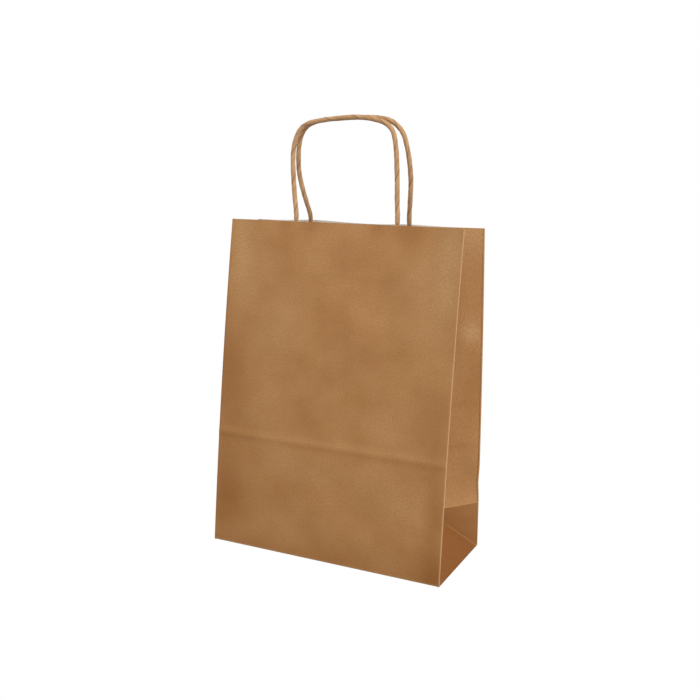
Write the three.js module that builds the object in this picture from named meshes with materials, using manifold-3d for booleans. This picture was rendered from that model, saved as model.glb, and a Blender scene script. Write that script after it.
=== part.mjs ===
// Paper gift bag: one folded paper sheet (two panels, two gusseted sides, a block bottom),
// and two twisted paper handles, each glued between two paper patches inside the mouth.
// Millimetres. X runs across the front, Y from front to back, Z up. The origin is the
// centre of the base, on the surface that the bag stands on.
import * as THREE from "three";
import { mergeVertices } from "three/addons/utils/BufferGeometryUtils.js";
import Module from "manifold-3d";

const wasm = await Module();
wasm.setup();

// The sheet.
const WIDTH = 240;          // across a panel
const DEPTH = 114;          // of the base, which is also the width of an opened gusset
const PANEL = 320;          // from the base crease to the mouth, along the paper
const PAPER = 0.2;          // sheet thickness
const FRONT_LEAN = 26;      // how far each panel's top edge stands inside its base crease
const BACK_LEAN = 34;
const SPLAY = 3;            // each mouth edge stands this much further out at its right end
const FRONT_BOW = 6.5;      // how far the middle of each mouth edge bends inwards
const BACK_BOW = 13;
const FOLD_HEIGHT = DEPTH / 2;   // where the gusset's diagonal creases meet

// The block bottom.
const FLAP_REACH = 65;      // of the front and back flaps, from their creases
const STEP_WIDTH = 2;       // over which the back flap climbs onto the front flap
const TUCK_REACH = 65;      // of the side tucks, from theirs
const TUCK_INSET = 1.8;     // from the side crease to the start of a tuck

// The handles.
const CORD = 4.5;           // diameter of the twisted cord
const CORD_SIDES = 10;
const LEG_X = 52;           // half the spacing of a handle's legs
const NECK = 8;             // stretch of each leg that bends, above the patches
const FRONT_TIP_Y = -24.5;  // where the top of each handle comes to
const BACK_TIP_Y = -18.7;
const FRONT_RISE = 97;      // length from the mouth to the top, along the handle's plane
const BACK_RISE = 101;

// Each handle's centreline above its necks, in its own plane: across, and up from the mouth.
const FRONT_LOOP = [
  [52, 8], [51.3, 20], [50.7, 40], [49.6, 60], [48.4, 71], [46, 82], [41, 88.7],
  [33, 92.8], [22, 95.2], [8, 96.4], [-8, 95.6], [-26, 93.8], [-41, 90.6],
  [-49.4, 84], [-54, 73], [-55.8, 60], [-55.2, 42], [-53.8, 24], [-52, 8],
];
const BACK_LOOP = [
  [52, 8], [53.5, 25], [55, 43], [54.8, 60], [53.4, 75], [51.2, 85.5], [46.2, 93],
  [39, 98], [29, 100.2], [10, 101], [-8, 100.4], [-28, 98.8], [-42, 95], [-50.8, 87.4],
  [-56.2, 75], [-59, 59], [-59.4, 47], [-57.6, 33], [-54.6, 19], [-52, 8],
];

// The patches and the seam.
const PATCH_WIDTH = 144;
const PATCH_HEIGHT = 45;
const PATCH_DROP = 4;       // from the mouth edge down to a patch
const RIDGE = 8;            // width of each flank of the ridge over a glued leg
const SEAM_WIDTH = 18;
const SEAM_INSET = 4;       // from the corner crease to the seam flap
const SEAM_FOOT = 8;        // from the base crease to the seam flap

// Clearances between pieces that touch on the real bag.
const LAYER = 0.3;          // between glued layers
const CREASE = 0.5;         // at a crease, which is a hinge
const PLEAT_LOW = 4.6;      // at a gusset's open centre crease, at its foot and at the mouth
const PLEAT_HIGH = 2;

const FRONT = -1;
const BACK = 1;
const LEFT = -1;
const RIGHT = 1;

const PRINTED = 0xa9794b;
const PRINTED_SHADE = 0x8f6238;
const BARE_PAPER = 0xe3dacb;
const TWISTED_PAPER = 0xc39a6b;

const bag = new THREE.Group();

function add(name, geometry, color) {
  const finish = { color, roughness: 0.7, metalness: 0 };
  const mesh = new THREE.Mesh(geometry, new THREE.MeshStandardMaterial(finish));
  mesh.name = name;
  bag.add(mesh);
  return mesh;
}

function steps(from, to, count) {
  return Array.from({ length: count + 1 }, (_, k) => from + (to - from) * k / count);
}

// ---- Thin solids ----

// The solid between two faces, each a grid of points with the same number of columns.
function slab(inner, outer, columns) {
  const rows = inner.length / columns;
  const at = (i, j) => j * columns + i;
  const triangles = [];
  const quad = (a, b, c, d) => triangles.push(a, b, c, a, c, d);
  for (let j = 0; j < rows - 1; j += 1) {
    for (let i = 0; i < columns - 1; i += 1) {
      const [a, b, c, d] = [at(i, j), at(i + 1, j), at(i + 1, j + 1), at(i, j + 1)];
      quad(a, d, c, b);
      quad(...[a, b, c, d].map((corner) => corner + inner.length));
    }
  }
  const rim = (a, b) => quad(a, b, b + inner.length, a + inner.length);
  for (let i = 0; i < columns - 1; i += 1) {
    rim(at(i, 0), at(i + 1, 0));
    rim(at(i + 1, rows - 1), at(i, rows - 1));
  }
  for (let j = 0; j < rows - 1; j += 1) {
    rim(at(columns - 1, j), at(columns - 1, j + 1));
    rim(at(0, j + 1), at(0, j));
  }
  const geometry = new THREE.BufferGeometry().setFromPoints([...inner, ...outer]);
  const across = inner[1].clone().sub(inner[0]);
  const along = inner[columns].clone().sub(inner[0]);
  const facesOut = across.cross(along).dot(outer[0].clone().sub(inner[0])) > 0;
  geometry.setIndex(facesOut ? triangles : triangles.reverse());
  geometry.computeVertexNormals();
  return geometry;
}

// A surface's normal at (u, v), on the side that the hint points to.
function normalAt(surface, u, v, hint) {
  const reach = 0.01;
  const alongU = surface(u + reach, v).sub(surface(u - reach, v));
  const alongV = surface(u, v + reach).sub(surface(u, v - reach));
  const normal = alongU.cross(alongV).normalize();
  return normal.dot(hint) < 0 ? normal.negate() : normal;
}

function offsetPoint(surface, u, v, hint, distance) {
  return surface(u, v).addScaledVector(normalAt(surface, u, v, hint), distance);
}

// Paper whose inner face follows a surface through a grid of [u, v] cells.
function sheet(surface, cells, hint) {
  const inner = cells.flat().map(([u, v]) => surface(u, v));
  const outer = cells.flat().map(([u, v]) => offsetPoint(surface, u, v, hint, PAPER));
  return slab(inner, outer, cells[0].length);
}

function grid(us, vs) {
  return vs.map((v) => us.map((u) => [u, v]));
}

// Paper whose lower face runs through rows of points.
function level(rows) {
  const lower = rows.flat();
  const upper = lower.map(({ x, y, z }) => new THREE.Vector3(x, y, z + PAPER));
  return slab(lower, upper, rows[0].length);
}

// ---- The shape of the standing bag ----

// A point of a panel's inner face: x across, v up along the paper.
function panelPoint(side, x, v) {
  const lean = side === FRONT ? FRONT_LEAN : BACK_LEAN;
  const bow = side === FRONT ? FRONT_BOW : BACK_BOW;
  const across = x / (WIDTH / 2);
  const up = v / PANEL;
  const bend = bow * (1 - Math.abs(across) ** 3) * up ** 3;
  const y = DEPTH / 2 - lean * up + SPLAY * across ** 3 * up - bend;
  return new THREE.Vector3(x, side * y, Math.sqrt(PANEL ** 2 - lean ** 2) * up);
}

// A corner crease, where a panel meets a gusset, is straight.
function cornerPoint(end, side, v) {
  return panelPoint(side, end * WIDTH / 2, v);
}

// A gusset's centre crease tucks in until both of its halves fit between the panels. Below
// the fold height it runs on, parallel to the corner crease, as the halves' own plane does.
function pleatPoint(end, side, v) {
  const height = Math.max(v, FOLD_HEIGHT);
  const front = cornerPoint(end, FRONT, height);
  const back = cornerPoint(end, BACK, height);
  const tuck = Math.sqrt((DEPTH / 2) ** 2 - (front.distanceTo(back) / 2) ** 2);
  const below = cornerPoint(end, side, height).sub(cornerPoint(end, side, v));
  const pleat = front.add(back).multiplyScalar(0.5).sub(below);
  pleat.x -= end * tuck;
  return pleat;
}

// ---- The panels, with the patches and the seam flap on their inner faces ----

const outwardOf = (side) => new THREE.Vector3(0, side, 0);

function addPanel(side, name) {
  const half = WIDTH / 2 - CREASE / 2;
  const surface = (x, v) => panelPoint(side, x, v);
  const cells = grid(steps(-half, half, 12), steps(CREASE, PANEL, 8));
  add(`${name}_panel`, sheet(surface, cells, outwardOf(side)), PRINTED);
}

// From a panel's inner face to the centreline of a glued leg.
const LEG_DEPTH = LAYER + PAPER + LAYER + CORD / 2;

// How much of its full height a patch's ridge has at x: all of it over the cord's own width.
function ridge(x) {
  const away = Math.max(Math.abs(Math.abs(x) - LEG_X) - CORD / 2, 0);
  return (1 + Math.cos(Math.PI * Math.min(away / RIDGE, 1))) / 2;
}

function addPatches(side, name) {
  const outward = outwardOf(side);
  const panel = (x, v) => panelPoint(side, x, v);
  const flat = LAYER + PAPER;
  const raised = LEG_DEPTH + CORD / 2 + 2 * LAYER + PAPER;
  const outer = (x, v) => offsetPoint(panel, x, v, outward, -flat);
  const inner = (x, v) => {
    const depth = 2 * flat + (raised - 2 * flat) * ridge(x);
    return offsetPoint(panel, x, v, outward, -depth);
  };
  const half = PATCH_WIDTH / 2;
  const top = PANEL - PATCH_DROP;
  const heights = steps(top - PATCH_HEIGHT, top, 2);
  add(`${name}_patch_outer`, sheet(outer, grid(steps(-half, half, 12), heights), outward),
    BARE_PAPER);
  add(`${name}_patch_inner`, sheet(inner, grid(steps(-half, half, 48), heights), outward),
    BARE_PAPER);
}

function addSeamFlap() {
  const outward = outwardOf(BACK);
  const left = -WIDTH / 2 + SEAM_INSET;
  const panel = (x, v) => panelPoint(BACK, x, v);
  const surface = (x, v) => offsetPoint(panel, x, v, outward, -LAYER - PAPER);
  const cells = grid([left, left + SEAM_WIDTH], steps(SEAM_FOOT, PANEL, 8));
  add("seam_flap", sheet(surface, cells, outward), BARE_PAPER);
}

// ---- The gussets ----

// Half of a gusset, from the diagonal crease at its foot up to the mouth.
function addGussetHalf(end, side, name) {
  const half = DEPTH / 2;
  const surface = (u, v) => {
    const corner = cornerPoint(end, side, v);
    return corner.lerp(pleatPoint(end, side, v), u);
  };
  const cells = steps(0, 1, 12).map((up) => steps(0, 1, 4).map((across) => {
    const open = PLEAT_LOW + (PLEAT_HIGH - PLEAT_LOW) * up;
    const u = (CREASE + (half - CREASE - open) * across) / half;
    const low = FOLD_HEIGHT * u + CREASE * Math.SQRT2;
    return [u, low + (PANEL - low) * up];
  }));
  add(name, sheet(surface, cells, new THREE.Vector3(end, 0, 0)), PRINTED_SHADE);
}

// The triangle between the base's side crease and the gusset's two diagonal creases. Its
// top corner is cut off level, just below where the three creases meet.
function addGussetFoot(end, name) {
  const front = cornerPoint(end, FRONT, 0);
  const back = cornerPoint(end, BACK, 0);
  const apex = pleatPoint(end, FRONT, FOLD_HEIGHT);
  const surface = (across, up) => (
    front.clone().lerp(back, across).lerp(apex, up / FOLD_HEIGHT));
  const cells = [CREASE, FOLD_HEIGHT - 3 * CREASE].map((up) => {
    const inset = CREASE * Math.SQRT2 / (DEPTH * (1 - up / FOLD_HEIGHT));
    return [[inset, up], [1 - inset, up]];
  });
  add(name, sheet(surface, cells, new THREE.Vector3(end, 0, 0)), PRINTED_SHADE);
}

// ---- The block bottom: the front flap is the outermost, and the tucks lie inside ----

// A flap narrows from its crease at 45 degrees, where its corners are folded under it.
function flapRow(side, reach, height) {
  const half = WIDTH / 2 - CREASE - reach;
  return steps(-half, half, 2).map((x) => (
    new THREE.Vector3(x, side * (DEPTH / 2 - reach), height)));
}

function addBaseFlaps() {
  const meeting = DEPTH - FLAP_REACH;
  const climbed = LAYER + PAPER;
  add("base_front_flap", level([flapRow(FRONT, 0, 0), flapRow(FRONT, FLAP_REACH, 0)]),
    PRINTED);
  const rows = [
    flapRow(BACK, 0, 0),
    flapRow(BACK, meeting - 2 * STEP_WIDTH, 0),
    flapRow(BACK, meeting - STEP_WIDTH, climbed),
    flapRow(BACK, FLAP_REACH, climbed),
  ];
  add("base_back_flap", level(rows), PRINTED);
}

function addBaseTuck(end, name) {
  const outer = WIDTH / 2 - TUCK_INSET;
  const inner = WIDTH / 2 - TUCK_REACH;
  const half = DEPTH / 2 - 2 * CREASE;
  const height = 2 * (LAYER + PAPER);
  const rows = [-half, half].map((y) => (
    [inner, outer].map((x) => new THREE.Vector3(end * x, y, height))));
  add(name, level(rows), BARE_PAPER);
}

// ---- The handles ----

// The centreline of a glued leg, over the middle of the patch, at v up the panel.
function legPoint(side, v) {
  const panel = (x, height) => panelPoint(side, x, height);
  const right = offsetPoint(panel, LEG_X, v, outwardOf(side), -LEG_DEPTH);
  const left = offsetPoint(panel, -LEG_X, v, outwardOf(side), -LEG_DEPTH);
  return right.add(left).multiplyScalar(0.5);
}

// The direction from the point where a handle's legs leave the bag to its top.
function handleRise(side) {
  const exit = legPoint(side, PANEL);
  const tip = side === FRONT ? FRONT_TIP_Y : BACK_TIP_Y;
  const lean = (tip - exit.y) / (side === FRONT ? FRONT_RISE : BACK_RISE);
  return new THREE.Vector3(0, lean, Math.sqrt(1 - lean ** 2));
}

// A straight piece of cord with a round lower end, from a point along a direction.
function addCordPiece(name, start, direction, length) {
  const radius = CORD / 2;
  const arc = steps(-Math.PI / 2, 0, 3).map((angle) => (
    new THREE.Vector2(radius * Math.cos(angle), radius * Math.sin(angle))));
  arc[0].x = 0;
  const profile = [...arc, new THREE.Vector2(radius, length), new THREE.Vector2(0, length)];
  const geometry = new THREE.LatheGeometry(profile, CORD_SIDES);
  const piece = add(name, geometry, TWISTED_PAPER);
  piece.position.copy(start);
  piece.quaternion.setFromUnitVectors(new THREE.Vector3(0, 1, 0), direction);
}

function addLegs(side, name) {
  const exit = legPoint(side, PANEL);
  const foot = legPoint(side, PANEL - PATCH_HEIGHT);
  const along = exit.clone().sub(foot);
  const clear = CORD / 2 + LAYER;
  for (const [end, word] of [[LEFT, "left"], [RIGHT, "right"]]) {
    const place = (point) => point.clone().setX(end * LEG_X);
    addCordPiece(`${name}_handle_${word}_leg`, place(foot), along.clone().normalize(),
      along.length() - clear);
    addCordPiece(`${name}_handle_${word}_neck`, place(exit), handleRise(side), NECK - clear);
  }
}

function toManifold(geometry) {
  const bare = geometry.clone();
  bare.deleteAttribute("normal");
  bare.deleteAttribute("uv");
  const merged = mergeVertices(bare, 1e-4);
  return new wasm.Manifold(new wasm.Mesh({
    numProp: 3,
    vertProperties: merged.attributes.position.array,
    triVerts: new Uint32Array(merged.index.array),
  }));
}

function fromManifold(solid) {
  const mesh = solid.getMesh();
  const geometry = new THREE.BufferGeometry();
  geometry.setAttribute("position", new THREE.BufferAttribute(mesh.vertProperties, 3));
  geometry.setIndex(new THREE.BufferAttribute(mesh.triVerts, 1));
  geometry.computeVertexNormals();
  return geometry;
}

// The loop of cord above the necks, with round ends where they meet it.
function addHandle(side, name) {
  const exit = legPoint(side, PANEL);
  const rise = handleRise(side);
  const place = ([x, height]) => exit.clone().addScaledVector(rise, height).setX(x);
  const loop = side === FRONT ? FRONT_LOOP : BACK_LOOP;
  const path = new THREE.CatmullRomCurve3(loop.map(place));
  const section = new THREE.Shape().absarc(0, 0, CORD / 2, 0, 2 * Math.PI);
  const options = { steps: 44, curveSegments: CORD_SIDES, extrudePath: path, bevelEnabled: false };
  let solid = toManifold(new THREE.ExtrudeGeometry(section, options));
  for (const end of [LEFT, RIGHT]) {
    const { x, y, z } = place([end * LEG_X, NECK]);
    const round = new THREE.SphereGeometry(CORD / 2, CORD_SIDES, 6).translate(x, y, z);
    solid = solid.add(toManifold(round));
  }
  add(`${name}_handle`, fromManifold(solid), TWISTED_PAPER);
}

// ---- The whole bag ----

for (const [side, name] of [[FRONT, "front"], [BACK, "back"]]) {
  addPanel(side, name);
  addPatches(side, name);
  addLegs(side, name);
  addHandle(side, name);
}
addSeamFlap();
for (const [end, name] of [[LEFT, "left"], [RIGHT, "right"]]) {
  addGussetHalf(end, FRONT, `${name}_gusset_front`);
  addGussetHalf(end, BACK, `${name}_gusset_rear`);
  addGussetFoot(end, `${name}_gusset_foot`);
  addBaseTuck(end, `base_${name}_tuck`);
}
addBaseFlaps();

export default bag;
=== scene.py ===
"""A paper gift bag, standing open, with two twisted paper handles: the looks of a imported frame.

Every shape is worked out in millimetres in the frame's own axes, and add_mesh turns it into
metres. The sheet is described by its flat pattern: across runs round the bag and up runs from the
base crease to the mouth, so that print, grain and creases follow the paper wherever it folds.
"""

import math

import bpy
import numpy as np
from mathutils import Matrix, Vector, noise


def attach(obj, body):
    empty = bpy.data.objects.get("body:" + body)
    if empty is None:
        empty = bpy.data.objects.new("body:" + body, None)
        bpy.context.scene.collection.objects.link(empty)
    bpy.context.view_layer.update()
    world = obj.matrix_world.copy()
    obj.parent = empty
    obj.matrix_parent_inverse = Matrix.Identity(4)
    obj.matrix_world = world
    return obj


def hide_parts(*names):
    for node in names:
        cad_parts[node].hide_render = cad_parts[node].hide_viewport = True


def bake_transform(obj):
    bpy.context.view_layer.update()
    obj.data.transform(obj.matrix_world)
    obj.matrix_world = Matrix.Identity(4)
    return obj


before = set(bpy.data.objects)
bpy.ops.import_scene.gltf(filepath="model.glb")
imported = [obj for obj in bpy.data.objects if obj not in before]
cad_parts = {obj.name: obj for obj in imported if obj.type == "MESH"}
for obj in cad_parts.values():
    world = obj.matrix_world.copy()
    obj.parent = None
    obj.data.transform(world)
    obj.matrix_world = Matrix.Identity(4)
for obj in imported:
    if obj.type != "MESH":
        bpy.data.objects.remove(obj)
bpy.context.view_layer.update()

MM = 0.001
FRONT, BACK = -1, 1
LEFT, RIGHT = -1, 1
SIDES = ((FRONT, "front"), (BACK, "back"))
ENDS = ((LEFT, "left"), (RIGHT, "right"))
UP = Vector((0, 0, 1))

# The view. Angles are in degrees.
AZIMUTH, ELEVATION, ROLL = 24.96, 9.60, 1.66
DISTANCE = 881.7
BAG_MIDDLE = Vector((0, 0, 156))
OFF_CENTRE = (-1.66, 39.8)      # of the view's centre from the bag's middle, rightwards and up
LENS, SENSOR = 46.24, 36        # focal length, and the sensor's width

# The studio.
SKY = 0.92                      # strength of the white light from all round
LIT_POINT = Vector((0, 0, 200))
LIGHTS = (                      # azimuth, elevation, distance, size, watts
    ("key", 66, 36, 1700, 900, 17),
    ("fill", -40, 50, 2000, 1200, 7),
)
FLOOR_GREY = (0.42, 0.42, 0.42)
FLOOR_REACH = 12000
FLOOR_DROP = 0.3                # from the bag's base down to the floor

# The sheet, as the frame has it.
HALF_WIDTH = 120
HALF_DEPTH = 57
PANEL = 320                     # from the base crease to the mouth
PAPER = 0.2
LEAN = {FRONT: 26, BACK: 34}    # of each panel's top edge, inwards
BOW = {FRONT: 6.5, BACK: 13}    # of the middle of each mouth edge, inwards
SPLAY = 3                       # of each mouth edge, outwards at its right end
SWELL = 12                      # the creases belly out by a quarter of this at mid height

# Folds.
FOLD = 1.2                      # reach of a fold's curve, to each side of the crease
LIP = 2.2                       # the sheet runs on past a crease by this much, over its neighbour
UNDER = 0.28                    # how far the neighbour lies beneath the lip
BUCKLE_HEIGHT = 46.5            # where the gusset's second crease meets the corner crease
SECOND_BULGE = 1.6              # how far the middle of the second crease stands out
APEX_TUCK = 35                  # from the side crease to the top of the foot, inwards and up
APEX_HEIGHT = 48
FOOT_SPAN = 55                  # about the length of the foot, from the side crease to its tip
MOUTH_TUCK = 50                 # of a gusset's centre crease at the mouth, inwards

# Marks of handling.
WAVE = 92                       # length of a wave in the panels
MARK_HEIGHT = 110.8             # of the mark that the folded base left on the front panel
EDGE_DENT_HEIGHT = 68           # of the dent in the back panel's right edge
DENT_HEIGHT = 223               # of the dent in the right gusset's rear half

# The patches and the seam.
LAYER = 0.3                     # between glued faces
PATCH_HALF = 72
PATCH_HEIGHT = 45
PATCH_TOP = PANEL - 4
PATCH_FOOT = PATCH_TOP - PATCH_HEIGHT
RIDGE = 8                       # from a cord's side to where the patch lies flat again
SEAM_INSET = 4
SEAM_WIDTH = 18
SEAM_FOOT = 8

# The base.
FLAP = 65
MEETING = 49                    # how far the back flap runs before it laps over the front one
FLAP_INSET = 1.2                # of each flap from its base crease
TUCK_INSET = 1.8

# The handles.
CORD = 4.5
LEG_X = 52
LEG_DEPTH = LAYER + PAPER + LAYER + CORD / 2
TIP_Y = {FRONT: -24.5, BACK: -18.7}
RISE = {FRONT: 97, BACK: 101}
BULGE = {FRONT: (0, 0), BACK: (2.9, -4.4)}  # how the middle of a handle stands off its plane
SAG = 0.8                       # of the handles' tops
LOOP = {                        # each handle's centreline: x, and height above the mouth
    FRONT: [(52, 8), (51.3, 20), (50.7, 40), (49.6, 60), (48.4, 71), (46, 82), (41, 88.7),
            (33, 92.8), (22, 95.2), (8, 96.4), (-8, 95.6), (-26, 93.8), (-41, 90.6),
            (-49.4, 84), (-54, 73), (-55.8, 60), (-55.2, 42), (-53.8, 24), (-52, 8)],
    BACK: [(52, 8), (53.5, 25), (55, 43), (54.8, 60), (53.4, 75), (51.2, 85.5), (46.2, 93),
           (39, 98), (29, 100.2), (10, 101), (-8, 100.4), (-28, 98.8), (-42, 95),
           (-50.8, 87.4), (-56.2, 75), (-59, 59), (-59.4, 47), (-57.6, 33), (-54.6, 19),
           (-52, 8)],
}
CORD_SIDES = 30
CORD_STEP = 1.1                 # from ring to ring of the cord's mesh
TWIST = 27                      # length of cord to a full turn of its two seams
CUT_HEIGHT = -1.2               # above the mouth, where the free cord starts
OVERLAP = 3                     # rings of a glued leg that lie inside the free cord
LEG_SHARE = 0.93                # of a glued leg's radius to the free cord's
END_SHARES = (0.35, 0.78, 0.95) # of the full radius, for the last rings of a rounded end

# Colours, in linear red, green and blue. A pair holds the two ends of a cloudy mix.
PRINT = (0.357, 0.167, 0.051), (0.427, 0.217, 0.079)
# Painted light and painted shade, mixed into the print by an attribute of the sheet.
PAINTED_LIGHT = (0.57, 0.365, 0.18)
PAINTED_SHADE = (0.205, 0.068, 0.015)
PRINT_SPECK = (0.243, 0.104, 0.032)
PRINT_FIBRE = (0.44, 0.235, 0.10)
# Pale rubbed print, which along the right corner crease is also a painted highlight.
RUBBED_PRINT_AND_HIGHLIGHT = (0.58, 0.36, 0.18)
BARE = (0.80, 0.735, 0.66), (0.88, 0.83, 0.77)
BARE_FIBRE = (0.64, 0.56, 0.47)
TWISTED = (0.40, 0.225, 0.105), (0.53, 0.325, 0.17)
TWISTED_FIBRE = (0.30, 0.145, 0.055)
# Painted shade in the seams between the cord's turns.
TWISTED_SEAM_SHADE = (0.20, 0.088, 0.032)
SPECULAR = 0.25
SHARP = math.radians(50)        # edges that turn by more than this are drawn sharp


# ---- Camera, floor and light ----

def direction(azimuth, elevation):
    """The unit vector from the bag towards these angles, in degrees."""
    azimuth, elevation = math.radians(azimuth), math.radians(elevation)
    return Vector((math.sin(azimuth) * math.cos(elevation),
                   -math.cos(azimuth) * math.cos(elevation), math.sin(elevation)))


def make_camera():
    back = direction(AZIMUTH, ELEVATION)
    right = UP.cross(back).normalized()
    up = back.cross(right)
    target = BAG_MIDDLE + OFF_CENTRE[0] * right + OFF_CENTRE[1] * up
    roll = math.radians(ROLL)
    across = math.cos(roll) * right + math.sin(roll) * up
    turned_up = math.cos(roll) * up - math.sin(roll) * right
    turn = Matrix((across, turned_up, back)).transposed().to_4x4()
    camera = bpy.data.objects.new("camera", bpy.data.cameras.new("camera"))
    camera.data.lens = LENS
    camera.data.sensor_width = SENSOR
    camera.data.clip_start = 10 * MM
    camera.matrix_world = Matrix.Translation((target + DISTANCE * back) * MM) @ turn
    bpy.context.scene.collection.objects.link(camera)
    bpy.context.scene.camera = camera


def make_light(name, azimuth, elevation, distance, size, watts):
    """A square soft box that faces the middle of the bag."""
    back = direction(azimuth, elevation)
    data = bpy.data.lights.new(name, "AREA")
    data.size = size * MM
    data.energy = watts
    light = bpy.data.objects.new(name, data)
    light.location = (LIT_POINT + distance * back) * MM
    light.rotation_mode = "QUATERNION"
    light.rotation_quaternion = back.to_track_quat("Z", "Y")
    bpy.context.scene.collection.objects.link(light)


def split_rays(tree, lit, seen, output):
    """Shows the camera the light of one shader node, and everything else that of another."""
    pick = tree.nodes.new("ShaderNodeMixShader")
    rays = tree.nodes.new("ShaderNodeLightPath")
    tree.links.new(rays.outputs["Is Camera Ray"], pick.inputs["Fac"])
    tree.links.new(lit.outputs[0], pick.inputs[1])
    tree.links.new(seen.outputs[0], pick.inputs[2])
    tree.links.new(pick.outputs["Shader"], output.inputs["Surface"])


def make_world():
    """White all round, and somewhat dimmer as light than it looks."""
    world = bpy.data.worlds.new("studio")
    bpy.context.scene.world = world
    world.use_nodes = True
    nodes = world.node_tree.nodes
    lit, seen = nodes["Background"], nodes.new("ShaderNodeBackground")
    for node, strength in ((lit, SKY), (seen, 1)):
        node.inputs["Color"].default_value = (1, 1, 1, 1)
        node.inputs["Strength"].default_value = strength
    split_rays(world.node_tree, lit, seen, nodes["World Output"])


def make_floor():
    """A pale floor, shown to the camera as pure white."""
    material = new_material("pale_floor", FLOOR_GREY, 0.9)
    nodes = material.node_tree.nodes
    split_rays(material.node_tree, nodes["Principled BSDF"], nodes.new("ShaderNodeEmission"),
               nodes["Material Output"])
    square = [(x * FLOOR_REACH, y * FLOOR_REACH, -FLOOR_DROP)
              for x, y in ((-1, -1), (1, -1), (1, 1), (-1, 1))]
    floor = add_mesh("floor", square, [(0, 1, 2, 3)], [material])


def make_studio():
    make_world()
    for light in LIGHTS:
        make_light(*light)
    bpy.context.scene.view_settings.view_transform = "Standard"
    make_floor()


# ---- Materials ----

def new_material(name, color, roughness):
    """A plain material, whose colour and roughness a Painter may replace."""
    material = bpy.data.materials.new(name)
    material.use_nodes = True
    shader = material.node_tree.nodes["Principled BSDF"]
    shader.inputs["Base Color"].default_value = (*color, 1)
    shader.inputs["Roughness"].default_value = roughness
    shader.inputs["Specular IOR Level"].default_value = SPECULAR
    return material


class Painter:
    """Adds texture nodes to a material, and links them to its one shader."""

    def __init__(self, material):
        self.nodes = material.node_tree.nodes
        self.links = material.node_tree.links
        self.shader = self.nodes["Principled BSDF"]
        self.place = self.nodes.new("ShaderNodeTexCoord").outputs["UV"]

    def noise(self, scale, detail, stretch=(1, 1), roughness=0.5):
        """Noise on the paper's own flat pattern, in cycles to the metre."""
        mapping = self.nodes.new("ShaderNodeMapping")
        mapping.inputs["Scale"].default_value = (*stretch, 1)
        self.links.new(self.place, mapping.inputs["Vector"])
        texture = self.nodes.new("ShaderNodeTexNoise")
        texture.inputs["Scale"].default_value = scale
        texture.inputs["Detail"].default_value = detail
        texture.inputs["Roughness"].default_value = roughness
        self.links.new(mapping.outputs["Vector"], texture.inputs["Vector"])
        return texture.outputs["Fac"]

    def attribute(self, name):
        node = self.nodes.new("ShaderNodeAttribute")
        node.attribute_name = name
        return node.outputs["Fac"]

    def spread(self, value, low, high, to_low=0.0, to_high=1.0):
        """Maps a value between low and high to another range, without overshoot."""
        node = self.nodes.new("ShaderNodeMapRange")
        for key, number in (("From Min", low), ("From Max", high), ("To Min", to_low),
                            ("To Max", to_high)):
            node.inputs[key].default_value = number
        self.links.new(value, node.inputs["Value"])
        return node.outputs["Result"]

    def mix(self, share, first, second):
        """A colour between two, each a colour or another node's output."""
        node = self.nodes.new("ShaderNodeMix")
        node.data_type = "RGBA"
        sockets = {s.identifier: s for s in node.inputs}
        self.feed(share, sockets["Factor_Float"])
        self.feed(first, sockets["A_Color"])
        self.feed(second, sockets["B_Color"])
        return next(s for s in node.outputs if s.identifier == "Result_Color")

    def combine(self, first, second, operation):
        node = self.nodes.new("ShaderNodeMath")
        node.operation = operation
        self.feed(first, node.inputs[0])
        self.feed(second, node.inputs[1])
        return node.outputs["Value"]

    def feed(self, value, socket):
        """Links another node's output to a socket, or sets the socket to a colour or number."""
        if isinstance(value, bpy.types.NodeSocket):
            self.links.new(value, socket)
        else:
            socket.default_value = (*value, 1) if isinstance(value, tuple) else value

    def bump(self, height, distance):
        node = self.nodes.new("ShaderNodeBump")
        node.inputs["Distance"].default_value = distance * MM
        node.inputs["Strength"].default_value = 1
        self.links.new(height, node.inputs["Height"])
        self.links.new(node.outputs["Normal"], self.shader.inputs["Normal"])

    def finish(self, color, roughness):
        self.links.new(color, self.shader.inputs["Base Color"])
        self.links.new(roughness, self.shader.inputs["Roughness"])


def printed_material():
    """Satin copper-brown print: cloudy ink, fine grain, painted light and painted shade, and
    rubbed paper along the creases, which on the right corner crease is also a painted highlight.
    """
    material = new_material("printed_paper", (0.4, 0.2, 0.08), 0.5)
    paint = Painter(material)
    light_and_shade = paint.attribute("light_and_shade")
    clouds = paint.spread(paint.noise(24, 3), 0.34, 0.66)
    specks = paint.spread(paint.noise(640, 2, roughness=0.7), 0.32, 0.68)
    fibres = paint.noise(260, 3, stretch=(9, 1))
    color = paint.mix(clouds, *PRINT)
    # Painted light and painted shade.
    color = paint.mix(paint.spread(light_and_shade, 0, 1), color, PAINTED_LIGHT)
    color = paint.mix(paint.spread(light_and_shade, 0, -1), color, PAINTED_SHADE)
    color = paint.mix(paint.spread(specks, 0, 1, 0, 0.52), color, PRINT_SPECK)
    color = paint.mix(paint.spread(fibres, 0.5, 0.75, 0, 0.2), color, PRINT_FIBRE)
    grain = paint.spread(specks, 0, 1, 0.75, 1.1)
    # Paler along the creases: rubbed print, and along the right corner crease a painted highlight
    # too.
    color = paint.mix(paint.combine(paint.attribute("crease"), grain, "MULTIPLY"), color,
                      RUBBED_PRINT_AND_HIGHLIGHT)
    gloss = paint.spread(light_and_shade, -1, 0, 0.02, SPECULAR)
    paint.links.new(gloss, paint.shader.inputs["Specular IOR Level"])
    formation = paint.noise(300, 4, stretch=(3, 1), roughness=0.65)
    paint.bump(paint.combine(formation, specks, "ADD"), 0.035)
    paint.finish(color, paint.spread(paint.noise(60, 3), 0.3, 0.7, 0.42, 0.54))
    return material


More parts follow.
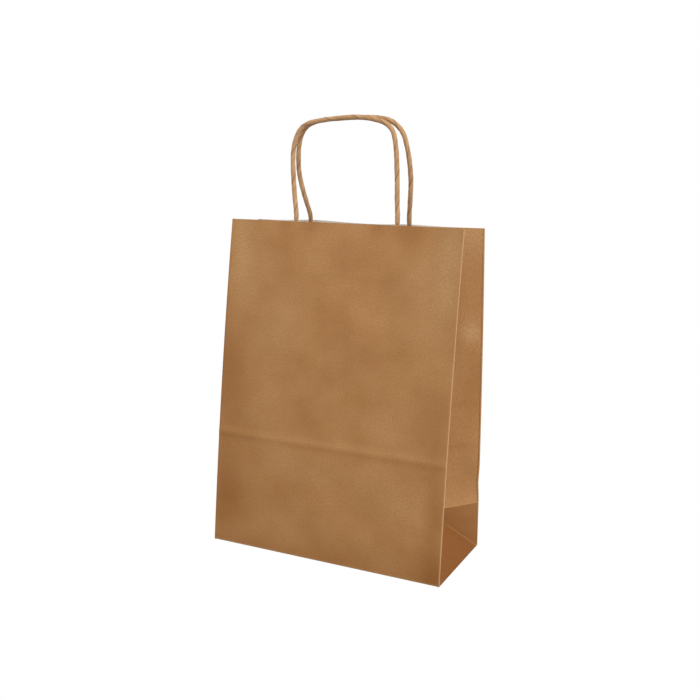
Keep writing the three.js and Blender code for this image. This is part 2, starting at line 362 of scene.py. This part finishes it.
def bare_material():
    """Uncoated off-white paper with a faint fibre formation."""
    material = new_material("bare_paper", (0.8, 0.74, 0.67), 0.85)
    paint = Painter(material)
    clouds = paint.spread(paint.noise(120, 4, roughness=0.65), 0.3, 0.7)
    fibres = paint.spread(paint.noise(300, 3, stretch=(8, 1)), 0.55, 0.8, 0, 0.35)
    color = paint.mix(fibres, paint.mix(clouds, *BARE), BARE_FIBRE)
    paint.bump(paint.noise(350, 4, stretch=(3, 1), roughness=0.7), 0.04)
    paint.finish(color, paint.spread(clouds, 0, 1, 0.78, 0.9))
    return material


def cord_material():
    """Twisted kraft: pale crowns, painted shade in the seams between the turns, and fibres along
    the twist.
    """
    material = new_material("twisted_paper", (0.55, 0.33, 0.17), 0.75)
    paint = Painter(material)
    clouds = paint.spread(paint.noise(45, 3, stretch=(0.5, 1)), 0.32, 0.68)
    fibres = paint.spread(paint.noise(900, 3, stretch=(1, 0.12)), 0.42, 0.7, 0, 0.45)
    color = paint.mix(fibres, paint.mix(clouds, *TWISTED), TWISTED_FIBRE)
    # Painted shade in the seams.
    color = paint.mix(paint.attribute("seam_shade"), color, TWISTED_SEAM_SHADE)
    paint.bump(paint.noise(1100, 3, stretch=(1, 0.15), roughness=0.6), 0.09)
    paint.finish(color, paint.spread(clouds, 0, 1, 0.66, 0.8))
    return material


# ---- Meshes ----

def add_mesh(name, points, faces, materials, slots=None, values=None, places=None):
    """A mesh piece from points in millimetres, with each face's material and, if given, each
    point's value of named attributes and its place in the flat pattern, in millimetres."""
    mesh = bpy.data.meshes.new(name)
    mesh.from_pydata([tuple(c * MM for c in p) for p in points], [], faces)
    for material in materials:
        mesh.materials.append(material)
    if slots is not None:
        mesh.polygons.foreach_set("material_index", slots)
    for key, numbers in (values or {}).items():
        mesh.attributes.new(key, "FLOAT", "POINT").data.foreach_set("value", numbers)
    if places is not None:
        corners = np.zeros(len(mesh.loops), np.int32)
        mesh.loops.foreach_get("vertex_index", corners)
        flat = np.array(places, float)[corners] * MM
        mesh.uv_layers.new(name="flat_pattern").data.foreach_set("uv", flat.ravel())
    mesh.validate()
    mesh.update()
    mesh.polygons.foreach_set("use_smooth", [True] * len(mesh.polygons))
    mesh.set_sharp_from_angle(angle=SHARP)
    piece = bpy.data.objects.new(name, mesh)
    bpy.context.scene.collection.objects.link(piece)
    return piece


def outward_normals(grid, hint):
    """Unit normals of a grid of points, on the side that the hint points to."""
    across = np.gradient(grid, axis=1)
    along = np.gradient(grid, axis=0)
    normals = np.cross(across, along)
    normals /= np.linalg.norm(normals, axis=2, keepdims=True)
    middle = normals[grid.shape[0] // 2, grid.shape[1] // 2]
    return normals if np.dot(middle, hint) > 0 else -normals


def sheet_faces(rows, columns):
    """The faces of a closed sheet whose points are a grid on its outer face and then the same grid
    on its inner face, and the slot of each: 1 for the inner face and the last row's edge."""
    count = rows * columns

    def at(i, j):
        return j * columns + i

    faces, slots = [], []
    for j in range(rows - 1):
        for i in range(columns - 1):
            ring = (at(i, j), at(i + 1, j), at(i + 1, j + 1), at(i, j + 1))
            faces += [ring, tuple(count + k for k in reversed(ring))]
            slots += [0, 1]
    rim = [at(i, 0) for i in range(columns)]
    rim += [at(columns - 1, j) for j in range(1, rows)]
    rim += [at(i, rows - 1) for i in range(columns - 2, -1, -1)]
    rim += [at(0, j) for j in range(rows - 2, 0, -1)]
    for a, b in zip(rim, rim[1:] + rim[:1]):
        faces.append((b, a, count + a, count + b))
        slots.append(1 if max(a, b) >= at(0, rows - 1) else 0)
    return faces, slots


def add_paper(name, surface, acrosses, ups, hint, faces_of, crease=None, light_and_shade=None,
              spans=(1, 1)):
    """A sheet of paper whose inner face follows surface(across, up), and whose outer face is on
    the side that the hint points to. faces_of gives the materials of the outer and the inner face,
    crease(across, up) is how rubbed the print is, with a painted highlight where it stands for
    one, and the function after it gives painted light above 0 and painted shade below 0. spans is
    what a step of 1 across and a step of 1 up are on the flat pattern."""
    cells = [[(a, u) for a in acrosses] for u in ups]
    inner = np.array([[tuple(surface(a, u)) for a, u in row] for row in cells], float)
    normals = outward_normals(inner, hint)
    points = np.concatenate([(inner + PAPER * normals).reshape(-1, 3), inner.reshape(-1, 3)])
    faces, slots = sheet_faces(len(ups), len(acrosses))
    turn = np.cross(inner[0, 1] - inner[0, 0], inner[1, 0] - inner[0, 0])
    if np.dot(turn, normals[0, 0]) <= 0:
        faces = [tuple(reversed(f)) for f in faces]
    flat = [cell for row in cells for cell in row]
    values = {key: [look(*cell) if look else 0.0 for cell in flat] * 2
              for key, look in (("crease", crease), ("light_and_shade", light_and_shade))}
    places = [(a * spans[0], u * spans[1]) for a, u in flat] * 2
    return add_mesh(name, points, faces, faces_of, slots, values, places)


def ride(piece, body, slot, *nodes):
    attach(piece, body)
    stand_for(piece, slot, *nodes)


def stand_for(piece, slot, *nodes):
    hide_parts(*nodes)


def steps(start, end, size):
    """Evenly spaced numbers from start to end, no further apart than size."""
    count = max(1, math.ceil(abs(end - start) / size - 1e-6))
    return [start + (end - start) * k / count for k in range(count + 1)]


def smooth(value, low, high):
    """0 up to low and 1 from high on, with a smooth rise between them."""
    t = min(max((value - low) / (high - low), 0.0), 1.0)
    return t * t * (3 - 2 * t)


def hill(value, middle, width):
    """A bell curve: 1 at its middle, and 1 / e at its width to either side."""
    return math.exp(-((value - middle) / width) ** 2)


# ---- The shape of the sheet ----

def plain_panel(side, x, v):
    """A panel's inner face before its dents and undulations: x across, v up the paper."""
    across, up = x / HALF_WIDTH, v / PANEL
    lean = LEAN[side]
    bend = BOW[side] * (1 - abs(across) ** 3) * up ** 3
    depth = HALF_DEPTH - lean * up + SPLAY * across ** 3 * up - bend + SWELL * up * (1 - up)
    dent = 0
    if side == BACK:
        dent = 0.9 * hill(v, EDGE_DENT_HEIGHT, 12) * max(across, 0) ** 20
    return Vector((x - dent, side * depth, math.sqrt(PANEL ** 2 - lean ** 2) * up))


def corner(end, side, v):
    return plain_panel(side, end * HALF_WIDTH, v)


def undulation(side, x, v):
    """How far a panel stands out from its plain shape, from handling and from what is under it:
    the patches stiffen it, and their edges and the cords' legs press through."""
    calm = smooth(HALF_WIDTH - abs(x), 2, 34) * smooth(v, 3, 40)
    stiffened = smooth(PATCH_HALF + 20 - abs(x), 0, 14)
    stiffened *= smooth(v, PATCH_FOOT - 35, PATCH_FOOT - 1)
    place = Vector((x / WAVE, v / WAVE, 7.3 * side))
    waves = 1.5 * noise.noise(place) + 0.45 * noise.noise(place * 2.7)
    over_cord = hill(abs(x), LEG_X, 6) * smooth(v, PATCH_FOOT - 9, PATCH_FOOT + 13)
    over_patch = smooth(PATCH_HALF + 1.2 - abs(x), 0, 2.4)
    over_patch *= smooth(v, PATCH_FOOT - 2, PATCH_FOOT + 2)
    pressed = (0.5 * over_cord + 0.25 * over_patch) * (1 - smooth(v, PATCH_TOP - 18, PATCH_TOP))
    return calm * (1 - stiffened) * waves + pressed


def fold_mark(side, x, v):
    """The ridge that the folded base pressed into the front panel while the bag lay flat."""
    if side == BACK:
        return 0
    strength = 0.75 + 0.5 * noise.noise(Vector((x / 40, 0, 5)))
    return 0.55 * strength * hill(v, MARK_HEIGHT, 4.5)


def mouth_rise(side, x, v):
    """How much higher than its plain shape the back panel's wavy mouth edge stands."""
    if side == FRONT:
        return 0
    return smooth(v, 250, PANEL) * (1.7 * hill(x, -48, 34) + 1.1 * hill(x, 52, 24))


def panel_surface(side, x, v):
    point = plain_panel(side, x, v)
    point.y += side * (undulation(side, x, v) + fold_mark(side, x, v))
    point.z += mouth_rise(side, x, v)
    return point


def apex(end):
    """The top of a gusset's foot, where all its creases meet."""
    return Vector((end * (HALF_WIDTH - APEX_TUCK), 0, APEX_HEIGHT))


def pleat(end, v):
    """The centre crease of a gusset, beside the corner creases at v."""
    up = (v - BUCKLE_HEIGHT) / (PANEL - BUCKLE_HEIGHT)
    middle = (corner(end, FRONT, v) + corner(end, BACK, v)) / 2
    settled = 1 - math.exp(-up / 0.12)
    middle.z -= (BUCKLE_HEIGHT - APEX_HEIGHT) * (1 - settled)
    middle.y *= smooth(up, 0, 0.5)
    middle.x -= end * (APEX_TUCK + (MOUTH_TUCK - APEX_TUCK) * (0.45 * settled + 0.55 * up))
    return middle


def gusset_normal(end, side):
    """The unit vector out of half of a lower gusset."""
    inwards = (apex(end) - corner(end, side, BUCKLE_HEIGHT)).normalized()
    outwards = inwards.cross(UP)
    return outwards if outwards.x * end > 0 else -outwards


def gusset_height(up):
    """The height up the paper from the second crease, at 1, to the mouth, at 2."""
    return BUCKLE_HEIGHT + (PANEL - BUCKLE_HEIGHT) * (up - 1)


def gusset_stand(end, side, across, v):
    """How far the middle of half of a gusset stands out above the second crease: it falls off from
    there into a hollow, with waves and a dent."""
    above = v - BUCKLE_HEIGHT
    stand = SECOND_BULGE * math.exp(-above / 9)
    stand -= 4.2 * (1 - math.exp(-above / 16)) * math.exp(-above / 70)
    stand += 1.1 * noise.noise(Vector((across / 30, v / 60, 3.1 * end + 1.7 * side)))
    if end == RIGHT and side == BACK:
        stand -= 1.6 * hill(v, DENT_HEIGHT, 9) * hill(across, 9, 7)
    return stand


def gusset_surface(end, side, across, up):
    """Half of a gusset: across from its corner crease, up from its foot's diagonal crease at 0,
    past the second crease at 1, to the mouth at 2. Below 0 it runs on beneath the foot."""
    share = across / HALF_DEPTH
    outwards = gusset_normal(end, side)
    bulge = math.sin(math.pi * min(max(share, 0), 1))
    if up <= 1:
        diagonal = corner(end, side, 0).lerp(apex(end), share)
        if up < 0:
            down = (corner(end, -side, 0) - diagonal).normalized()
            return diagonal - 9 * up * down * share - UNDER * Vector((end, 0, 0))
        second = corner(end, side, BUCKLE_HEIGHT).lerp(apex(end), share)
        point = diagonal.lerp(second + SECOND_BULGE * bulge * outwards, up)
    else:
        v = gusset_height(up)
        point = corner(end, side, v).lerp(pleat(end, v), share)
        point += gusset_stand(end, side, across, v) * bulge * outwards
    beneath = UNDER * (1 - smooth(across, LIP, LIP + 3))
    return point - beneath * outwards


def folded(surface, place, crease, reach, *rest):
    """A surface rounded across a crease: surface(place, *rest) curves from reach before the
    crease to reach after it."""
    if abs(place - crease) >= reach:
        return surface(place, *rest)
    share = (place - crease + reach) / (2 * reach)
    before, at, after = (surface(crease + k * reach, *rest) for k in (-1, 0, 1))
    return before.lerp(at, share).lerp(at.lerp(after, share), share)


def sheet_surface(side, across, up):
    """A panel with the start of what folds off it: the gussets, and the base beneath it."""
    def unrounded(place, height):
        if abs(place) <= HALF_WIDTH:
            point = panel_surface(side, place, max(height, 0))
        else:
            end = RIGHT if place > 0 else LEFT
            point = corner(end, side, max(height, 0))
            target = apex(end) if height <= BUCKLE_HEIGHT else pleat(end, height)
            point += (abs(place) - HALF_WIDTH) * (target - point).normalized()
        if height < 0:
            point.y += side * height
        return point

    def rounded_below(place, height):
        return folded(lambda h: unrounded(place, h), height, 0, FOLD)

    edge = HALF_WIDTH if across > 0 else -HALF_WIDTH
    return folded(lambda a: rounded_below(a, up), across, edge, FOLD)


# ---- How pale, dark or rubbed the print is ----

# Patches of painted light and painted shade on the front panel: x, height, half width, half
# height, and how pale it is, dark below 0.
LIGHT_AND_SHADE_PATCHES = (
    (-112, 175, 22, 60, -0.42),
    (-108, 56, 26, 46, -0.56),
    (-104, 270, 14, 60, 0.20),
    (-62, 215, 28, 34, 0.16),
    (20, 205, 34, 22, -0.14),
    (10, 285, 30, 18, -0.18),
    (88, 268, 34, 48, 0.16),
    (-20, 150, 18, 26, -0.16),
    (60, 140, 40, 14, 0.10),
    (-30, 88, 60, 12, 0.12),
    (60, 72, 34, 22, 0.10),
    (0, -6, 150, 18, -0.36),
    (110, 60, 9, 70, -0.26),
    (118, 8, 20, 26, -0.54),
    (-62, 318, 8, 8, -0.30),
    (-36, 317, 10, 7, -0.24),
    (34, 318, 7, 8, -0.28),
    (66, 314, 18, 10, -0.28),
    (-108, 302, 9, 36, 0.12),
    (108, 290, 11, 50, 0.24),
    (-120, 240, 1.6, 90, -0.6),
)


def front_light_and_shade(across, up):
    """Patches of painted light and shade, and a painted light line above and a painted shade line
    below the mark of the folded base.
    """
    x = min(max(across, -HALF_WIDTH), HALF_WIDTH)
    light_and_shade = sum(pale * math.exp(-((x - middle) / wide) ** 2 - ((up - height) / high) ** 2)
               for middle, height, wide, high, pale in LIGHT_AND_SHADE_PATCHES)
    return light_and_shade + 0.10 * hill(up, MARK_HEIGHT + 3, 3.5) - 0.15 * hill(up, MARK_HEIGHT - 2.2, 2.8)


def back_shade(across, up):
    """Painted shade, darker towards the base."""
    return -0.35 * hill(up, 0, 30)


def gusset_light_and_shade(end, side):
    """Painted light just above the second crease and towards the mouth, painted shade below the
    second crease, and faint lines of painted shade at the marks of former folds.
    """
    def light_and_shade(across, up):
        if up <= 1:
            return -0.44 - 0.18 * (1 - up)
        v = gusset_height(up)
        shade = 0.12 * math.exp(-(v - BUCKLE_HEIGHT) / 30) + 0.25 * smooth(v, 270, PANEL)
        shade -= 0.16 * hill(v, 105 + across * 0.1, 3) + 0.10 * hill(v, 149, 2.5)
        shade -= 0.12 * hill(v, 180, 40)
        if side == BACK:
            # Painted light in the rear dent, and a painted shadow along the top of the left rear
            # half.
            shade += 0.5 * hill(v, DENT_HEIGHT - 2, 11) * hill(across, 11, 10)
            shade -= 1.1 * smooth(v, PANEL - 16, PANEL - 4) * (end == LEFT)
        return shade
    return light_and_shade


# Paleness along a crease from rubbed print; along the panels' right corner crease it is also a
# painted highlight.
def rubbed(distance, width, most):
    return most * hill(distance, 0, width)


def panel_wear_and_highlight(across, up):
    """Rubbed at the base crease and the right corner crease, and hardly at the left one; along the
    right corner crease the pale line is also a painted highlight.
    """
    return max(rubbed(abs(across) - HALF_WIDTH, 1, 0.75 if across > 0 else 0.1),
               rubbed(up, 1.2, 0.5))


# ---- The pieces of the sheet ----

def add_panels(printed, bare):
    near = [0, 0.3, 0.6, 0.9, FOLD, 1.7, LIP]
    right_half = sorted({*steps(0, HALF_WIDTH - 6, 4), HALF_WIDTH - 4,
                         *(HALF_WIDTH + k for k in near), *(HALF_WIDTH - k for k in near)})
    acrosses = sorted({round(s * a, 4) for a in right_half for s in (-1, 1)})
    ups = [-LIP, -FOLD, -0.8, -0.4, 0, 0.4, 0.8, FOLD, 2, 4, *steps(8, 92, 6),
           *steps(95, 134, 1.5), *steps(140, 260, 6), *steps(264, 316, 2.6), 318.4, PANEL]
    for side, name in SIDES:
        piece = add_paper(f"{name}_panel_paper", lambda a, u: sheet_surface(side, a, u),
                          acrosses, ups, (0, side, 0), [printed, bare], panel_wear_and_highlight,
                          front_light_and_shade if side == FRONT else back_shade)
        ride(piece, name, "printed_paper", f"{name}_panel")


def add_gussets(printed, bare):
    """Each half of a gusset, from its corner crease to its centre crease."""
    acrosses = [FOLD, LIP, 3.4, 5.5, 8, *steps(11, 52, 4), 55.2, 56.4, HALF_DEPTH]
    ups = [-0.34, -0.02, *steps(0, 0.875, 0.125), 0.96, 0.99, 1, 1.002, 1.006, 1.012,
           *steps(1.02, 1.2, 0.02), *steps(1.22, 2, 0.02)]
    for end, end_name in ENDS:
        for side, name in ((FRONT, "front"), (BACK, "rear")):
            piece = add_paper(
                f"{end_name}_gusset_{name}_paper",
                lambda a, u: gusset_surface(end, side, a, u), acrosses, ups, (end, 0, 0),
                [printed, bare], lambda a, u: rubbed(HALF_DEPTH - a, 0.8, 0.3),
                gusset_light_and_shade(end, side), (1, PANEL / 2))
            body = f"{end_name}_gusset_{name}"
            stand_for(piece, "printed_paper", body)
            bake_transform(piece)


def add_feet(printed, bare):
    """The triangle between the side crease, at 0, and the two diagonal creases."""
    fold = FOLD / FOOT_SPAN
    ups = [-LIP / FOOT_SPAN, *steps(-fold, fold, fold / 2), *steps(0.06, 0.985, 0.06)]
    for end, name in ENDS:
        front, back = corner(end, FRONT, 0), corner(end, BACK, 0)

        def unrounded(up, across):
            point = front.lerp(back, across)
            if up < 0:
                return point + Vector((end * up * FOOT_SPAN, 0, 0))
            sag = 1.5 * math.sin(math.pi * across) * math.sin(math.pi * up)
            return point.lerp(apex(end), up) - Vector((end * sag, 0, 0))

        # The feet get painted shade, a little lighter towards their tops.
        piece = add_paper(f"{name}_gusset_foot_paper",
                          lambda a, u: folded(unrounded, u, 0, fold, a), steps(0, 1, 0.05), ups,
                          (end, 0, 0), [printed, bare],
                          lambda a, u: rubbed(min(a, 1 - a), 0.02, 0.25),
                          lambda a, u: -1 + 0.15 * u, (2 * HALF_DEPTH, HALF_DEPTH))
        ride(piece, f"{name}_gusset_foot", "printed_paper", f"{name}_gusset_foot")


def add_base(printed, bare):
    """The block bottom: the front flap is outermost, the back flap laps over it inside, and the
    tucks lie on both. Each flap narrows at 45 degrees from its crease."""
    climb = LAYER + PAPER
    length = FLAP - FLAP_INSET

    def flap(side):
        def surface(across, up):
            half = HALF_WIDTH - 0.5 - up
            climbed = climb * smooth(up, MEETING - 4, MEETING - 1) if side == BACK else 0
            height = UNDER + 0.1 * noise.noise(Vector((across * 3, up / 30, side))) ** 2
            depth = HALF_DEPTH - FLAP_INSET - up
            return Vector((across * half, side * depth, height + climbed))
        return surface

    for side, name in SIDES:
        piece = add_paper(f"base_{name}_flap_paper", flap(side), steps(-1, 1, 0.08),
                          [*steps(0, 40, 5), *steps(42, length, 1.5)], (0, 0, -1),
                          [printed, bare], lambda a, u: rubbed(length - u, 1, 0.3), None,
                          (HALF_WIDTH, 1))
        ride(piece, "base", "printed_paper", f"base_{name}_flap")
    for end, name in ENDS:
        def tuck(across, up):
            height = UNDER + 2 * climb + 0.4 * smooth(up, 40, 64)
            return Vector((end * (HALF_WIDTH - TUCK_INSET - up), across * (HALF_DEPTH - 1),
                           height))
        piece = add_paper(f"base_{name}_tuck_paper", tuck, steps(-1, 1, 0.1),
                          steps(0, FLAP - TUCK_INSET, 5), (0, 0, -1), [printed, bare],
                          spans=(HALF_DEPTH, 1))
        ride(piece, "base", "bare_paper", f"base_{name}_tuck")


# ---- Patches and the seam, glued to the panels' inner faces ----

def inside_panel(side, x, v, depth):
    """A point at a depth inside a panel's inner face."""
    return panel_surface(side, x, v) - Vector((0, side * depth, 0))


def ridge(x):
    """How much of its full height a patch's ridge over a cord has at x."""
    away = max(abs(abs(x) - LEG_X) - CORD / 2, 0)
    return (1 + math.cos(math.pi * min(away / RIDGE, 1))) / 2


def add_patches(bare):
    flat = LAYER + PAPER
    raised = LEG_DEPTH + CORD / 2 + 2 * LAYER + PAPER
    heights = steps(PATCH_FOOT, PATCH_TOP, 3)
    acrosses = steps(-PATCH_HALF, PATCH_HALF, 2)
    for side, name in SIDES:
        def outer(x, v):
            return inside_panel(side, x, v, flat)

        def inner(x, v):
            pucker = 0.25 * noise.noise(Vector((x / 9, v / 14, side)))
            depth = 2 * flat + (raised - 2 * flat) * ridge(x) + LAYER + pucker
            return inside_panel(side, x, v, depth)

        for layer, surface in (("outer", outer), ("inner", inner)):
            piece = add_paper(f"{name}_patch_{layer}_paper", surface, acrosses, heights,
                              (0, side, 0), [bare, bare])
            ride(piece, name, "bare_paper", f"{name}_patch_{layer}")


def add_seam(bare):
    left = -HALF_WIDTH + SEAM_INSET
    piece = add_paper("seam_flap_paper",
                      lambda a, u: inside_panel(BACK, a, u, LAYER + PAPER),
                      steps(left, left + SEAM_WIDTH, 3), steps(SEAM_FOOT, PANEL, 6), (0, 1, 0),
                      [bare, bare])
    ride(piece, "back", "bare_paper", "seam_flap")


# ---- The twisted handles ----

def leg_point(side, v):
    """The centreline of a glued leg, over the middle of the panel, at v up the paper."""
    point = plain_panel(side, LEG_X, v).lerp(plain_panel(side, -LEG_X, v), 0.5)
    point.y -= side * (LEG_DEPTH - undulation(side, LEG_X, v))
    return point


def handle_frame(side):
    """Where a handle's legs leave the bag, and the direction from there to its top."""
    exit_point = leg_point(side, PANEL)
    exit_point.x = 0
    lean = (TIP_Y[side] - exit_point.y) / RISE[side]
    return exit_point, Vector((0, lean, math.sqrt(1 - lean ** 2)))


def smooth_path(points, spacing):
    """Points evenly spaced along a smooth curve through the given ones, and how far along each
    of them is."""
    points = [2 * points[0] - points[1], *points, 2 * points[-1] - points[-2]]
    curve = []
    for a, b, c, d in zip(points, points[1:], points[2:], points[3:]):
        for k in range(24):
            t = k / 24
            curve.append(0.5 * (2 * b + (c - a) * t + (2 * a - 5 * b + 4 * c - d) * t * t
                                + (3 * b - a - 3 * c + d) * t ** 3))
    curve.append(points[-2])
    line = np.array([tuple(p) for p in curve])
    along = np.concatenate([[0], np.cumsum(np.linalg.norm(np.diff(line, axis=0), axis=1))])
    places = np.linspace(0, along[-1], round(along[-1] / spacing) + 1)
    return np.stack([np.interp(places, along, line[:, k]) for k in range(3)], 1), places


def handle_path(side):
    """A handle's centreline from the foot of one glued leg to the foot of the other."""
    exit_point, rise = handle_frame(side)
    loop = []
    for x, height in LOOP[side]:
        point = exit_point + height * rise
        bulge = math.sin(math.pi * min(height / RISE[side], 1))
        point.x = x + BULGE[side][0] * bulge
        point.y += BULGE[side][1] * bulge
        point.z -= SAG * height / RISE[side]
        loop.append(point)
    legs = [leg_point(side, v) for v in (PANEL - PATCH_HEIGHT, PANEL - 24, PATCH_TOP)]
    right = [Vector((LEG_X, p.y, p.z)) for p in legs]
    left = [Vector((-LEG_X, p.y, p.z)) for p in reversed(legs)]
    return smooth_path([*right, *loop, *left], CORD_STEP)


def seam_depth(turned, along):
    """How deep in the cord's two seams a point is, at an angle that turns with the twist."""
    wander = 0.35 * noise.noise(Vector((along / 20, 3.3, 0)))
    first, second = (abs((turned + wander + shift + math.pi) % (2 * math.pi) - math.pi)
                     for shift in (0, 2.5))
    return hill(first, 0, 0.26) + 0.6 * hill(second, 0, 0.2)


def cord_radius(turned, along):
    """The lumpy cord's radius, less in the seams."""
    lump = 1 + 0.05 * noise.noise(Vector((along / 13, 0, 1.5)))
    fibres = 0.02 * noise.noise(Vector((turned * 3, along / 25, 2)))
    oval = 0.03 * math.cos(2 * turned)
    return CORD / 2 * lump * (1 - 0.13 * seam_depth(turned, along) + oval + fibres)


def tube_faces(count):
    """The faces of a tube of this many rings of points, closed at both ends."""
    faces = []
    for k in range(count - 1):
        low, high = k * CORD_SIDES, (k + 1) * CORD_SIDES
        for i in range(CORD_SIDES):
            j = (i + 1) % CORD_SIDES
            faces.append((low + i, low + j, high + j, high + i))
    faces.append(tuple(reversed(range(CORD_SIDES))))
    faces.append(tuple((count - 1) * CORD_SIDES + i for i in range(CORD_SIDES)))
    return faces


def add_cord(name, centres, along, shares, material):
    """Twisted paper: a round cord with two seams that wind round it. shares is each ring's share
    of the full radius."""
    tangents = np.gradient(centres, axis=0)
    tangents /= np.linalg.norm(tangents, axis=1, keepdims=True)
    side = np.cross(tangents[0], (0, 1, 0))
    points, seam_shades, places = [], [], []
    for centre, tangent, far, share in zip(centres, tangents, along, shares):
        side = side - np.dot(side, tangent) * tangent
        side /= np.linalg.norm(side)
        other = np.cross(tangent, side)
        for i in range(CORD_SIDES):
            angle = 2 * math.pi * i / CORD_SIDES
            turned = angle - 2 * math.pi * far / TWIST
            radius = share * cord_radius(turned, far)
            points.append(centre + radius * (math.cos(angle) * side + math.sin(angle) * other))
            # How much painted shade the seam gets here.
            seam_shades.append(0.85 * min(seam_depth(turned, far), 1))
            places.append((turned * CORD / 2, far))
    return add_mesh(name, points, tube_faces(len(centres)), [material], None,
                    {"seam_shade": seam_shades}, places)


def rounded_ends(count, first, last):
    """Each ring's share of the full radius, with round ends."""
    shares = np.ones(count)
    for k, share in enumerate(END_SHARES):
        if first:
            shares[k] = share
        if last:
            shares[-1 - k] = share
    return shares


def add_handles(material):
    """Each handle's free cord, and its two glued legs."""
    for side, name in SIDES:
        centres, along = handle_path(side)
        exit_point, rise = handle_frame(side)
        heights = (centres - np.array(exit_point)) @ np.array(rise)
        free = np.nonzero(heights > CUT_HEIGHT)[0]
        first, last = free[0], free[-1] + 1
        piece = add_cord(f"{name}_handle_cord", centres[first:last], along[first:last],
                         rounded_ends(last - first, True, True), material)
        nodes = [f"{name}_handle", f"{name}_handle_left_neck", f"{name}_handle_right_neck"]
        stand_for(piece, "twisted_paper", *nodes)
        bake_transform(piece)
        for part, end_name, ends in ((slice(0, first + OVERLAP), "right", (False, True)),
                                     (slice(last - OVERLAP, None), "left", (True, False))):
            shares = LEG_SHARE * rounded_ends(len(along[part]), *ends)
            leg = add_cord(f"{name}_handle_{end_name}_leg_cord", centres[part], along[part],
                           shares, material)
            ride(leg, name, "twisted_paper", f"{name}_handle_{end_name}_leg")


# ---- The whole bag ----

make_camera()
make_studio()
printed_paper = printed_material()
bare_paper = bare_material()
add_handles(cord_material())
add_panels(printed_paper, bare_paper)
add_gussets(printed_paper, bare_paper)
add_feet(printed_paper, bare_paper)
add_base(printed_paper, bare_paper)
add_patches(bare_paper)
add_seam(bare_paper)
